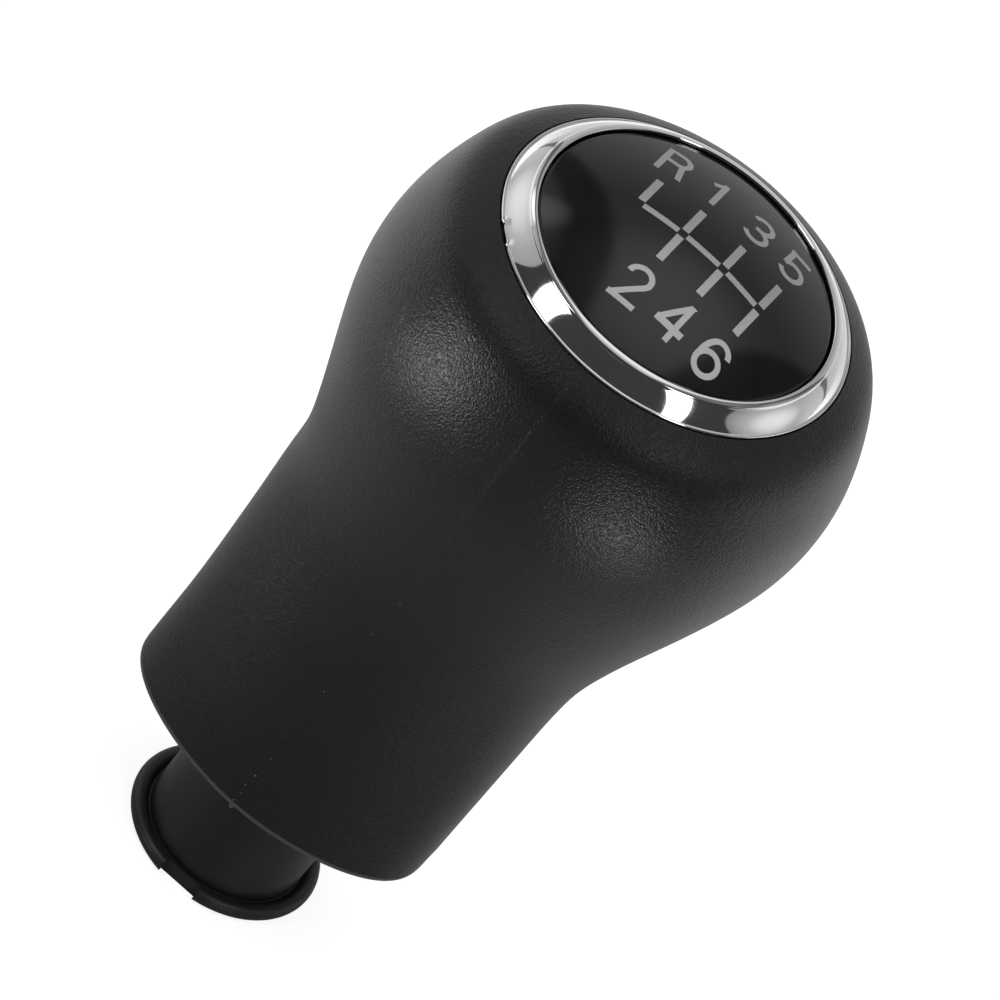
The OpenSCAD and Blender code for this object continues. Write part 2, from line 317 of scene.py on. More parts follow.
def press_corners(grip):
    """Presses the skirt's oval into its rounded corners and leans its sides, as the outline says."""
    rows = {}
    for v in grip.data.vertices:
        x, y, z = v.co / MM
        h = z - rim_z
        key = round(h, 4)
        if key not in rows:
            rows[key] = row_at(h)
        _, half, deep, lead, cx, cy = rows[key]
        a = math.atan2((y - cy) / deep, x - cx)
        w = 1 - ease(h / grip_h / corner_fade)
        c2, c4, c6 = (math.cos(k * a) for k in (2, 4, 6))
        waves_wide = (2 * c2 - 2, 2 * c4 - 2 * c2, 2 * c6 - 2 * c4 + 2 * c2 - 2)
        waves_deep = (2 * c2 + 2, 2 * c4 + 2 * c2, 2 * c6 + 2 * c4 + 2 * c2 + 2)
        out_x = 1 + w * sum(share * wave for share, wave in zip(corner_wide, waves_wide))
        out_y = 1 + w * sum(share * wave for share, wave in zip(corner_deep, waves_deep))
        v.co.x = (cx + (x - cx) * out_x + lead * math.cos(a) ** 2) * MM
        v.co.y = (cy + (y - cy) * out_y) * MM


def front_point(h, side=-1):
    """The middle of the front (or back) of the grip at a height over the rim."""
    row = row_at(h)
    return (row[4], row[5] + side * row[1] * row[2])


def raise_parting_line(grip):
    """A hair-thin raised line where the mould's halves met, down the front and up the back."""
    for side in (-1, 1):
        def on_line(p):
            if not rim_z - 0.01 < p.z < ring_z - 0.2:
                return False
            x, y = front_point(p.z - rim_z, side)
            if abs(p.x - x) >= 0.02 or p.y * side <= 0:
                return False
            return abs(p.y - y) < 0.25 or p.z < rim_z + lip_r

        select_where(grip, "EDGE", on_line)
        bpy.ops.mesh.bevel(offset=0.14 * MM, offset_type="OFFSET", segments=2, profile=0.5)
        bpy.ops.object.mode_set(mode="OBJECT")
        select_where(grip, "VERT", on_line)
        bpy.ops.transform.translate(value=(0, side * 0.05 * MM, 0))
        bpy.ops.object.mode_set(mode="OBJECT")


grip = model_grip()
press_corners(grip)
raise_parting_line(grip)
smooth(grip, 40)


# Specks of flash left along the front of the parting line, and the nib of the gate on the lip:
# height over the rim, distance from the line and radius
flash_specks = [
    (5.5, 0.12, 0.13), (3.7, -0.1, 0.11), (2.4, 0.05, 0.09), (8.6, 0.3, 0.09),
    (20.4, 0.1, 0.1), (31.0, -0.08, 0.09), (37.5, 0.1, 0.1), (1.1, -0.15, 0.1),
]


def stud(name, place, outward, radius, height):
    """A low round stud: a disc pulled out, drawn in and rounded, standing along a direction."""
    deselect()
    bpy.ops.mesh.primitive_circle_add(
        vertices=16, radius=radius * MM, fill_type="NGON", location=(0, 0, 0)
    )
    piece = bpy.context.object
    piece.name = piece.data.name = name
    bpy.ops.object.mode_set(mode="EDIT")
    bpy.ops.mesh.select_all(action="SELECT")
    for rise, share in ((0.5, 0.92), (0.3, 0.8), (0.2, 0.65)):
        pull(0, 0, rise * height)
        bpy.ops.transform.resize(value=(share, share, 1), center_override=(0, 0, 0))
    merge_and_face_out()
    bpy.ops.object.mode_set(mode="OBJECT")
    piece.rotation_euler = Vector(outward).to_track_quat("Z", "Y").to_euler()
    piece.location = Vector(place) * MM
    bpy.ops.object.transform_apply(location=True, rotation=True, scale=True)
    return piece


def join(pieces, name):
    """Makes several pieces one, under a new name."""
    deselect()
    for piece in pieces:
        piece.select_set(True)
    bpy.context.view_layer.objects.active = pieces[0]
    bpy.ops.object.join()
    pieces[0].name = pieces[0].data.name = name
    return pieces[0]


specks = []
for h, aside, radius in flash_specks:
    x, y = front_point(h)
    specks.append(stud("speck", (x + aside, y + 0.04, rim_z + h), (0, -1, 0.1), radius, radius + 0.04))
x, y = front_point(0)
specks.append(stud("gate", (x, y + 0.62, rim_z + 0.1), (0, -0.35, -1), 0.3, 0.5))
flash = join(specks, "parting_flash")
smooth(flash, 50)

# Trim ring


def arc(cx, cz, r, start, end, steps):
    """Points of a section along part of a circle, turning from start to end in degrees."""
    return [
        (cx + r * math.cos(math.radians(start + (end - start) * k / steps)),
         cz + r * math.sin(math.radians(start + (end - start) * k / steps)))
        for k in range(steps + 1)
    ]


# Radius of the outer bead, the ring's bore and top, the size of its legs and the swell of its band
outer_bead = 0.15
ring_inner_r = cap_r + 0.2
ring_top_z = ring_z + ring_rise
leg_r = opening_r - 0.1
leg_t = 0.9
leg_w = 4.8
leg_long = 3.8
band_swell = 0.12
# Turns of the knock's two ends, from the driver's side towards the right
knock_turns = (-55.0, -47.0)

# Outer bead, a hair groove, the sloping band with its slight swell, the inner bead, then the skirt
ring_section = [(leg_r, ring_z - seat_drop)]
ring_section += arc(ring_r - outer_bead, ring_z, outer_bead, -90, 125, 12)
band_start = (ring_r - 0.31, ring_z + 0.13)
band_end = (ring_inner_r + 0.78, ring_top_z - 0.322)
band_long = math.dist(band_start, band_end)
run_r, run_z = band_end[0] - band_start[0], band_end[1] - band_start[1]
for k in range(17):
    t = k / 16
    bulge = band_swell * 4 * t * (1 - t)
    ring_section.append((
        band_start[0] + run_r * t + bulge * run_z / band_long,
        band_start[1] + run_z * t - bulge * run_r / band_long,
    ))
# The inner bead: a short outer flank, a gently crowned top and a rounded inner edge
for across, drop in (
    (0.76, 0.3), (0.745, 0.235), (0.72, 0.2), (0.64, 0.158), (0.55, 0.116), (0.46, 0.079), (0.38, 0.05),
    (0.31, 0.027), (0.25, 0.011), (0.19, 0.002), (0.14, 0), (0.09, 0.012), (0.05, 0.036), (0.015, 0.085),
    (0, 0.15),
):
    ring_section.append((ring_inner_r + across, ring_top_z - drop))
ring_section += [
    (ring_inner_r, cap_seat_z + 1), (leg_r - leg_t, cap_seat_z + 1),
    (leg_r - leg_t, shelf_z), (leg_r, shelf_z),
]
trim_ring = turn_section("chrome_ring", ring_section, 320)


def dent_ring(ring):
    """The small knock in the outer bead, with the burr pushed up on either side of it."""
    start, end = knock_turns
    middle, half = (start + end) / 2, (end - start) / 2

    def share(p):
        turn = math.degrees(math.atan2(p.x, -p.y))
        return (turn - middle) / half

    def in_knock(p):
        near_edge = math.hypot(p.x, p.y) > ring_r - 0.62 and p.z > ring_z - seat_drop - 0.01
        return near_edge and abs(share(p)) < 1

    def at_burr(p):
        on_bead = math.hypot(p.x, p.y) > ring_r - 0.33 and p.z > ring_z - 0.02
        return on_bead and 1 <= abs(share(p)) < 1.3

    a = math.radians(middle)
    select_where(ring, "VERT", in_knock)
    bpy.ops.transform.translate(value=(-0.17 * math.sin(a) * MM, 0.17 * math.cos(a) * MM, 0.03 * MM))
    bpy.ops.object.mode_set(mode="OBJECT")
    select_where(ring, "VERT", at_burr)
    bpy.ops.transform.translate(value=(0.07 * math.sin(a) * MM, -0.07 * math.cos(a) * MM, 0.08 * MM))
    bpy.ops.object.mode_set(mode="OBJECT")


dent_ring(trim_ring)
smooth(trim_ring, 30)


def model_leg(turn):
    """A snap leg of the ring: a strip pulled down from the skirt, with a barb at its foot."""
    deselect()
    bpy.ops.mesh.primitive_cube_add(size=MM, location=(0, 0, 0))
    leg = bpy.context.object
    leg.scale = (leg_t - 0.2, leg_w, leg_long)
    bpy.ops.object.transform_apply(location=False, rotation=False, scale=True)
    top = shelf_z + 0.3
    leg.location = ((leg_r - leg_t / 2) * MM, 0, (top - leg_long / 2) * MM)
    bpy.ops.object.transform_apply(location=True, rotation=False, scale=False)
    barb_z = top - leg_long * 3 / 4
    select_where(leg, "FACE", lambda c, n: n.x > 0.9)
    bpy.ops.mesh.subdivide(number_cuts=3)
    bpy.ops.object.mode_set(mode="OBJECT")
    select_where(leg, "VERT", lambda p: p.x > leg_r - 0.2 and abs(p.z - barb_z) < 0.1)
    bpy.ops.transform.translate(value=(0.6 * MM, 0, 0.25 * MM))
    bpy.ops.mesh.select_all(action="SELECT")
    bpy.ops.transform.rotate(value=-math.radians(turn), orient_axis="Z", center_override=(0, 0, 0))
    merge_and_face_out()
    bpy.ops.object.mode_set(mode="OBJECT")
    return leg


trim_ring = join([trim_ring] + [model_leg(22.5 + 90 * k) for k in range(4)], "chrome_ring")

# Domed cap

dome_radius = (cap_r**2 + dome_rise**2) / (2 * dome_rise)
dome_middle = cap_edge_z + dome_rise - dome_radius


def dome_height(r, radius=dome_radius):
    return dome_middle + math.sqrt(radius**2 - r**2)


cap_section = [(cap_r * k / 48, dome_height(cap_r * k / 48)) for k in range(48)]
cap_section += [(cap_r - 0.16, dome_height(cap_r - 0.16)), (cap_r - 0.05, cap_edge_z - 0.02)]
cap_section += [
    (cap_r, cap_edge_z - 0.14), (cap_r, cap_seat_z + 1.0), (cap_r + 1.3, cap_seat_z + 1.0),
    (cap_r + 1.3, cap_seat_z), (cap_r - 1.8, cap_seat_z),
]
cap_section += [
    (r, dome_height(r, dome_radius - 1.8)) for r in [(cap_r - 1.8) * k / 20 for k in range(20, -1, -1)]
]
shift_cap = turn_section("domed_cap", cap_section, 256)
smooth(shift_cap, 35)

# Shift pattern

# The gate plan is drawn for a flatter dome, with its top and radius given here. Each mark slides down
# the real one, along the line of sight: by mark_lean for each millimetre of height, turned by mark_turn.
mark_turn = math.radians(3.48)
mark_lean = 1.164
plan_top = ring_z + 4.42
plan_radius = 52.5
plan_set = (0.125, 0.134)
plan_draw = (0.0055, 0.0078)
plan_half = 9


def plan_drop(x, y):
    """How far the dome stands over the one that the plan is drawn for, at a place."""
    r2 = min(x * x + y * y, (cap_r - 0.5) ** 2)
    return dome_height(math.sqrt(r2)) - (plan_top - plan_radius + math.sqrt(plan_radius**2 - r2))


def on_dome(x, y):
    """A place of the plan as it lies on the cap, drawn in a little towards the middle line."""
    lift = mark_lean * plan_drop(x, y)
    draw_in = y * max(0.0, 1 - (x / plan_half) ** 2)
    return (
        x + lift * math.sin(mark_turn) + plan_set[0] - plan_draw[0] * draw_in,
        y - lift * math.cos(mark_turn) + plan_set[1] - plan_draw[1] * draw_in,
    )


def bend(cx, cy, rx, ry, start, end):
    """Points along part of an ellipse, turning from start to end in degrees."""
    steps = max(6, int(abs(end - start) / 7))
    return [
        (cx + rx * math.cos(math.radians(start + (end - start) * k / steps)),
         cy + ry * math.sin(math.radians(start + (end - start) * k / steps)))
        for k in range(steps + 1)
    ]


def stroke(points, width):
    """A flat ribbon of even width along the points, pulled up into a bar through the dome."""
    deselect()
    bpy.ops.curve.primitive_nurbs_path_add(radius=MM, location=(0, 0, 0))
    path = bpy.context.object
    line = path.data
    line.splines.clear()
    line.dimensions = "3D"
    line.twist_mode = "Z_UP"
    line.extrude = width / 2 * MM
    run = line.splines.new("POLY")
    run.points.add(len(points) - 1)
    for spot, (x, y) in zip(run.points, points):
        x, y = on_dome(x, y)
        spot.co = (x * MM, y * MM, (cap_edge_z - 1) * MM, 1)
        spot.tilt = math.pi / 2
    bpy.ops.object.convert(target="MESH")
    piece = bpy.context.object
    bpy.ops.object.mode_set(mode="EDIT")
    bpy.ops.mesh.select_all(action="SELECT")
    bpy.ops.mesh.extrude_region_move(TRANSFORM_OT_translate={"value": (0, 0, 6 * MM)})
    merge_and_face_out()
    bpy.ops.object.mode_set(mode="OBJECT")
    return piece


def block(x0, x1, y0, y1):
    """An upright block over a rectangle of the plan, to trim a figure with."""
    x0, y0 = on_dome(x0, y0)
    x1, y1 = on_dome(x1, y1)
    deselect()
    bpy.ops.mesh.primitive_cube_add(
        size=MM, location=((x0 + x1) / 2 * MM, (y0 + y1) / 2 * MM, (cap_edge_z + 2) * MM)
    )
    box = bpy.context.object
    box.scale = (abs(x1 - x0), abs(y1 - y0), 9)
    bpy.ops.object.transform_apply(location=True, rotation=False, scale=True)
    return box


def figure(extent, strokes, width=0.62):
    """A digit or letter: its strokes, trimmed square to its own extent."""
    piece = join([stroke(points, w or width) for points, w in strokes], "figure")
    cut(piece, block(*extent), "INTERSECT", own_overlaps=True)
    return piece


# R, 1, 3 and 5 over the gate, then 2, 4 and 6 under it: the extent, then each stroke's line and width
figures = [
    figure((-9.1, -5.96, 6.1, 11.0), [
        ([(-8.75, 5.9), (-8.75, 11.1)], None),
        ([(-8.75, 10.65), (-7.33, 10.65)] + bend(-7.33, 9.66, 0.99, 0.99, 90, -90)
         + [(-7.33, 8.67), (-8.75, 8.67)], None),
        ([(-6.85, 8.95), (-6.25, 5.85)], None),
    ]),
    figure((-3.75, -2.06, 6.6, 11.3), [
        ([(-2.41, 6.4), (-2.41, 11.4)], None),
        ([(-3.5, 9.98), (-2.3, 10.9)], None),
    ]),
    figure((1.17, 4.29, 6.5, 11.3), [
        (bend(2.72, 9.93, 1.15, 1.02, 160, -90), None),
        (bend(2.74, 7.88, 1.2, 1.03, 90, -160), None),
        ([(2.25, 8.905), (2.8, 8.905)], None),
    ]),
    figure((6.13, 9.13, 6.2, 11.1), [
        ([(6.2, 10.75), (8.75, 10.75)], None),
        ([(6.62, 11.1), (6.5, 8.3)], None),
        (bend(7.55, 7.77, 1.23, 1.23, 155, -160), None),
    ]),
    figure((-3.93, -0.77, -12.2, -6.7), [
        (bend(-2.35, -8.29, 1.23, 1.24, 182, -38) + [(-3.55, -11.82), (-3.85, -12.2)], None),
        ([(-4.0, -11.85), (-0.7, -11.85)], None),
    ]),
    figure((1.1, 4.42, -12.06, -6.6), [
        ([(3.37, -6.5), (3.37, -12.1)], None),
        ([(1.05, -10.4), (4.45, -10.4)], 0.8),
        ([(3.55, -6.45), (1.25, -10.6)], None),
    ]),
    figure((6.13, 9.38, -12.1, -6.75), [
        (bend(7.755, -10.32, 1.275, 1.43, 0, 360), None),
        (bend(7.8, -8.3, 1.25, 1.2, 5, 90) + bend(7.8, -9.6, 1.32, 2.5, 90, 180)
         + [(6.48, -10.32)], None),
    ]),
]

# Widths of the gate's bars and lines, the places of its columns, and the ends of what runs in them
bar_w = 0.82
line_w = 0.74
columns = (-7.37, -2.29, 2.78, 7.83)
upper_bars = [(0.25, 4.46), (0.54, 4.71), (0.54, 4.71), (0.21, 4.42)]
lower_bars = [None, (-4.85, -0.5), (-4.85, -0.5), (-5.04, -0.75)]
gate_lines = [
    ((-6.9, -0.23), (-2.81, 0.0)), ((-1.79, 0.04), (2.27, 0.04)), ((3.31, 0.0), (7.35, -0.27))
]
for x, upper, lower in zip(columns, upper_bars, lower_bars):
    for bar in (upper, lower):
        if bar:
            figures.append(stroke([(x, bar[0]), (x, bar[1])], bar_w))
for start, end in gate_lines:
    figures.append(stroke([start, end], line_w))
pattern = join(figures, "shift_pattern")

# The print is what the strokes have in common with a thin layer on the dome
print_skin = 0.03
skin_r = 14.8
skin_section = [(skin_r * k / 30, dome_height(skin_r * k / 30) + print_skin) for k in range(31)]
skin_section += [(skin_r * k / 30, dome_height(skin_r * k / 30) - 0.08) for k in range(30, -1, -1)]
cut(pattern, turn_section("print_layer", skin_section, 160), "INTERSECT")
smooth(pattern, 30)

# Gaiter sleeve

bead_r = flange_t / 2
collar_r = sleeve_r + 1
sleeve_inner = bush_r + 0.05
# Bead flange, a fine groove beside it, the tube, the stop collar and the end inside the core
sleeve_section = [(sleeve_inner, 0.25), (sleeve_inner + 0.25, 0)]
sleeve_section += arc(flange_r - bead_r, bead_r, bead_r, -90, 142, 24)
sleeve_section += [
    (sleeve_r + 0.26, 1.22), (sleeve_r + 0.14, 1.16), (sleeve_r + 0.04, 1.2), (sleeve_r, 1.3),
    (sleeve_r, floor_z - 1.9), (collar_r, floor_z - 1.4), (collar_r, floor_z),
    (sleeve_r, floor_z), (sleeve_r, sleeve_top - 0.5), (sleeve_r - 0.5, sleeve_top),
    (sleeve_inner, sleeve_top),
]
sleeve = turn_section("flanged_sleeve", sleeve_section, 192)
deselect()
bpy.ops.mesh.primitive_cube_add(size=MM, location=(0, -(flange_r - notch_depth + 1.5) * MM, 0))
notch = bpy.context.object
notch.scale = (notch_w, 3.0, 6.0)
bpy.ops.object.transform_apply(location=False, rotation=False, scale=True)
cut(sleeve, notch)
smooth(sleeve, 35)

# Materials

RUBBER = (0.0125, 0.0122, 0.013)
RUBBER_CREASE_SHADE = (0.0095, 0.0093, 0.0098)
RUBBER_WORN = (0.0155, 0.0151, 0.016)
RUBBER_LIP_PAINTED_GLEAM = (0.095, 0.094, 0.097)
RUBBER_GLOSS = 0.31
LENS = (0.004, 0.004, 0.0045)
LENS_HAZE = (0.006, 0.006, 0.0068)
PRINT = (0.52, 0.52, 0.525)
PRINT_THIN = (0.43, 0.43, 0.435)
PRINT_PAINTED_SHADE = (0.2, 0.2, 0.205)
CHROME_CLEAN = (0.86, 0.865, 0.875)
CHROME_SMEARED = (0.78, 0.79, 0.81)
WIRE_BRIGHT = (0.46, 0.47, 0.49)
WIRE_BLUED = (0.3, 0.32, 0.37)


def new_material(name, colour, roughness, **sockets):
    """A material whose plain numbers sit on the shader's own sockets."""
    material = bpy.data.materials.new(name)
    material.use_nodes = True
    shader = material.node_tree.nodes["Principled BSDF"]
    shader.inputs["Base Color"].default_value = (*colour, 1)
    shader.inputs["Roughness"].default_value = roughness
    for socket, value in sockets.items():
        shader.inputs[socket.replace("_", " ")].default_value = value
    return material, material.node_tree, shader


def add(tree, kind, inputs=(), **settings):
    """A node with its settings; an input, by number or name, is a plain value or a link to an output."""
    node = tree.nodes.new("ShaderNode" + kind)
    for key, value in settings.items():
        setattr(node, key, value)
    for place, value in dict(inputs).items():
        if hasattr(value, "is_output"):
            tree.links.new(value, node.inputs[place])
        else:
            node.inputs[place].default_value = value
    return node


def place_in(tree):
    """The place on the piece, which every finish is drawn by."""
    return add(tree, "TexCoord").outputs["Object"]


def noise(tree, place, scale, detail=2.0, rough=0.5):
    inputs = {"Vector": place, "Scale": scale, "Detail": detail, "Roughness": rough}
    return add(tree, "TexNoise", inputs).outputs["Fac"]


def between_values(tree, value, low, high, start=0.3, end=0.7):
    """Spreads a 0 to 1 value between two numbers."""
    return add(tree, "MapRange", {
        "Value": value, "From Min": start, "From Max": end, "To Min": low, "To Max": high
    }).outputs["Result"]


def blend_colours(tree, share, first, second):
    """Mixes two colours, or the outputs of colour nodes, by a share."""
    mix = add(tree, "Mix", data_type="RGBA")
    for place, value in ((0, share), (6, first), (7, second)):
        if hasattr(value, "is_output"):
            tree.links.new(value, mix.inputs[place])
        elif place == 0:
            mix.inputs[place].default_value = value
        else:
            mix.inputs[place].default_value = (*value, 1)
    return mix.outputs[2]


def maths(tree, operation, first, second=0.0, third=0.0):
    return add(tree, "Math", {0: first, 1: second, 2: third}, operation=operation).outputs[0]


def bump(tree, height, distance, strength=1.0, under=None):
    inputs = {"Height": height, "Distance": distance * MM, "Strength": strength}
    if under is not None:
        inputs["Normal"] = under
    return add(tree, "Bump", inputs).outputs["Normal"]


def soft_touch_rubber():
    """Black soft-touch moulding with a fine leather grain, a little polished where hands rub it."""
    material, tree, shader = new_material("soft_touch_rubber", RUBBER, 0.46)
    shader.inputs["Specular IOR Level"].default_value = RUBBER_GLOSS
    place = place_in(tree)
    wander = add(tree, "TexNoise", {"Vector": place, "Scale": 1500.0, "Detail": 1.0}).outputs["Color"]
    offset = add(tree, "VectorMath", {0: wander, 1: (0.5, 0.5, 0.5)}, operation="SUBTRACT").outputs[0]
    shift = add(tree, "VectorMath", {0: offset, "Scale": 0.0004}, operation="SCALE").outputs[0]
    grained = add(tree, "VectorMath", {0: place, 1: shift}, operation="ADD").outputs[0]
    cells = add(tree, "TexVoronoi", {"Vector": grained, "Scale": 3900.0}).outputs["Distance"]
    pebble = between_values(tree, cells, 1.0, 0.0, 0.05, 0.75)
    grain = maths(tree, "MULTIPLY_ADD", noise(tree, place, 2600.0, 1.0), 0.8, pebble)
    patches = noise(tree, place, 70.0, 3.0)
    tree.links.new(between_values(tree, patches, 0.34, 0.41), shader.inputs["Roughness"])
    # The grain's low places are painted darker: painted shade in its creases
    tone = blend_colours(tree, between_values(tree, pebble, 0.35, 1.0, 0.2, 0.9), RUBBER_CREASE_SHADE, RUBBER)
    tone = blend_colours(tree, between_values(tree, patches, 0.0, 0.35), tone, RUBBER_WORN)
    z = add(tree, "SeparateXYZ", {0: place}).outputs["Z"]
    # The lip's band is painted paler: a painted highlight where its rounding catches the floor's light
    lip_painted_gleam = between_values(tree, z, 0.9, 0.0, (rim_z + 0.78) * MM, (rim_z + 0.94) * MM)
    tone = blend_colours(tree, lip_painted_gleam, tone, RUBBER_LIP_PAINTED_GLEAM)
    tree.links.new(tone, shader.inputs["Base Color"])
    waves = noise(tree, place, 240.0, 2.0)
    soft = bump(tree, waves, 0.05, 0.5)
    tree.links.new(bump(tree, grain, 0.032, 1.0, soft), shader.inputs["Normal"])
    return material


def bright_chrome():
    """Bright plating with faint polishing lines round the ring and a slight orange peel."""
    material, tree, shader = new_material("bright_chrome", (0.84, 0.845, 0.86), 0.05, Metallic=1.0)
    place = place_in(tree)
    lines = add(tree, "TexWave", {
        "Vector": place, "Scale": 2600.0, "Distortion": 1.5, "Detail": 2.0, "Detail Scale": 2.0
    }, wave_type="RINGS", rings_direction="Z").outputs["Fac"]
    peel = noise(tree, place, 420.0, 2.0)
    smears = noise(tree, place, 130.0, 4.0)
    tree.links.new(between_values(tree, smears, 0.03, 0.085), shader.inputs["Roughness"])
    tone = blend_colours(tree, between_values(tree, smears, 0.0, 0.5), CHROME_CLEAN, CHROME_SMEARED)
    tree.links.new(tone, shader.inputs["Base Color"])
    under = bump(tree, peel, 0.004, 0.6)
    tree.links.new(bump(tree, lines, 0.0006, 0.5, under), shader.inputs["Normal"])
    return material


def gloss_lens():
    """Black acrylic lens: almost a mirror, with dust-fine haze and hairline rubs."""
    material, tree, shader = new_material("gloss_lens", LENS, 0.08)
    shader.inputs["Specular IOR Level"].default_value = 0.5
    place = place_in(tree)
    haze = noise(tree, place, 55.0, 4.0, 0.6)
    stretched = add(tree, "Mapping", {"Vector": place, "Rotation": (0, 0, 0.7), "Scale": (1, 14, 1)})
    rubs = noise(tree, stretched.outputs[0], 380.0, 4.0, 0.7)
    rub_lines = between_values(tree, rubs, 0.0, 1.0, 0.64, 0.74)
    roughness = maths(tree, "MULTIPLY_ADD", rub_lines, 0.05, between_values(tree, haze, 0.075, 0.12))
    tree.links.new(roughness, shader.inputs["Roughness"])
    tone = blend_colours(tree, between_values(tree, haze, 0.0, 0.6), LENS, LENS_HAZE)
    tree.links.new(tone, shader.inputs["Base Color"])
    tree.links.new(bump(tree, rubs, 0.0008, 0.4), shader.inputs["Normal"])
    return material


def pattern_print():
    """Pale grey screen print, slightly speckled, with a soft sheen."""
    material, tree, shader = new_material("pattern_print", PRINT, 0.42)
    place = place_in(tree)
    speckle = noise(tree, place, 3200.0, 3.0)
    thin = noise(tree, place, 160.0, 3.0)
    tone = blend_colours(tree, between_values(tree, speckle, 0.0, 0.5), PRINT, PRINT_THIN)
    tone = blend_colours(tree, between_values(tree, thin, 0.0, 0.4), tone, PRINT_THIN)
    # The print is painted darker towards the back of the cap, on the far row: painted shade
    across = add(tree, "SeparateXYZ", {0: place}).outputs["Y"]
    tone = blend_colours(tree, between_values(tree, across, 0.0, 0.6, -0.007, 0.002), tone, PRINT_PAINTED_SHADE)
    tree.links.new(tone, shader.inputs["Base Color"])
    tree.links.new(between_values(tree, speckle, 0.36, 0.5), shader.inputs["Roughness"])
    tree.links.new(bump(tree, speckle, 0.004, 0.6), shader.inputs["Normal"])
    return material


def moulded_plastic(name, colour, worn, roughness, texture_scale, texture_depth, gloss=0.4):
    """A moulded plastic: spark-eroded texture, faint flow marks and paler rubbed places."""
    material, tree, shader = new_material(name, colour, roughness)
    shader.inputs["Specular IOR Level"].default_value = gloss
    place = place_in(tree)
    texture = noise(tree, place, texture_scale, 4.0, 0.6)
    flow_place = add(tree, "Mapping", {"Vector": place, "Scale": (1, 1, 5)}).outputs[0]
    flow = noise(tree, flow_place, 90.0, 3.0)
    rubbed = between_values(tree, flow, 0.0, 0.6, 0.45, 0.75)
    tone = blend_colours(tree, rubbed, colour, worn)
    tone = blend_colours(tree, between_values(tree, texture, 0.0, 0.35), tone, worn)
    tree.links.new(tone, shader.inputs["Base Color"])
    uneven = between_values(tree, flow, roughness - 0.05, roughness + 0.07)
    tree.links.new(uneven, shader.inputs["Roughness"])
    under = bump(tree, flow, 0.01, 0.4)
    tree.links.new(bump(tree, texture, texture_depth, 0.8, under), shader.inputs["Normal"])
    return material


def sprung_wire():
    """Drawn spring wire: fine draw lines along it, slightly blued."""
    material, tree, shader = new_material("sprung_wire", (0.42, 0.43, 0.45), 0.28, Metallic=1.0)
    place = place_in(tree)
    along = add(tree, "Mapping", {"Vector": place, "Scale": (1, 1, 14)}).outputs[0]
    lines = noise(tree, along, 900.0, 4.0)
    tone = blend_colours(tree, between_values(tree, lines, 0.0, 1.0), WIRE_BRIGHT, WIRE_BLUED)
    tree.links.new(tone, shader.inputs["Base Color"])
    tree.links.new(between_values(tree, lines, 0.22, 0.36), shader.inputs["Roughness"])
    tree.links.new(bump(tree, lines, 0.004, 0.6), shader.inputs["Normal"])
    return material


rubber = soft_touch_rubber()
chrome = bright_chrome()
lens = gloss_lens()
printed = pattern_print()
satin_black = moulded_plastic(
    "satin_black_plastic", (0.013, 0.013, 0.0135), (0.02, 0.0198, 0.0205), 0.4, 2600.0, 0.006
)
ribbed_core = moulded_plastic(
    "filled_core_plastic", (0.035, 0.036, 0.038), (0.05, 0.051, 0.053), 0.5, 1800.0, 0.01
)
cup_plastic = moulded_plastic(
    "cup_plastic", (0.03, 0.03, 0.032), (0.042, 0.042, 0.044), 0.45, 2200.0, 0.006
)
bush_nylon = moulded_plastic(
    "natural_nylon", (0.62, 0.6, 0.53), (0.54, 0.51, 0.43), 0.38, 1500.0, 0.006
)
wire = sprung_wire()
burr = moulded_plastic(
    "flash_burr", (0.1, 0.098, 0.1), (0.16, 0.155, 0.16), 0.32, 5200.0, 0.004, 0.5
)


def dress(piece, material, replaced=None):
    """Gives a piece its finish and its body, and hides the part that it stands for."""
    piece.data.materials.clear()
    piece.data.materials.append(material)
    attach(piece, "root")
    if replaced:
        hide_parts(replaced)


dress(grip, rubber, "grip_shell")
dress(flash, burr, None)
dress(trim_ring, chrome, "trim_ring")
dress(shift_cap, lens, "shift_cap")
dress(pattern, printed)
dress(sleeve, satin_black, "gaiter_sleeve")
for node_name, material in (
    ("core_carrier", ribbed_core), ("cap_base", cup_plastic),
    ("lever_bush", bush_nylon), ("retaining_clip", wire),
):
    for slot_row in nodes[node_name].material_slots:
        slot_row.material = material

# Camera

# Its angles round the knob and its roll, because the knob is seen lying at a slant. Side, depth and
# height lead from the middle of the rim to the point that it looks at.
camera_azimuth = 3.48
camera_elevation = 40.671
camera_distance = 1480.3
camera_roll = 50.863
camera_side = 0.322
camera_depth = -0.048
camera_height = 41.606
camera_lens = 551.6

a, e, r = (math.radians(v) for v in (camera_azimuth, camera_elevation, camera_roll))
right = Vector((math.cos(a), math.sin(a), 0))
nearer = Vector((math.sin(a), -math.cos(a), 0))
back = Vector((math.sin(a) * math.cos(e), -math.cos(a) * math.cos(e), math.sin(e)))
up = back.cross(right)
image_x = right * math.sin(r) + up * math.cos(r)
image_y = up * math.sin(r) - right * math.cos(r)
target = Vector((0, 0, rim_z + camera_height)) + right * camera_side + nearer * camera_depth
turn = Matrix((image_x, image_y, back)).transposed()
data = bpy.data.cameras.new("photo_camera")
data.lens = camera_lens
data.sensor_width = 36
camera = bpy.data.objects.new("photo_camera", data)
bpy.context.scene.collection.objects.link(camera)
camera.matrix_world = Matrix.Translation((target + back * camera_distance) * MM) @ turn.to_4x4()
bpy.context.scene.camera = camera
bpy.context.scene.view_settings.view_transform = "Standard"

# Studio

deselect()
bpy.ops.mesh.primitive_plane_add(size=8, location=(0, 0, 0))
floor = bpy.context.object
floor.name = "studio_floor"
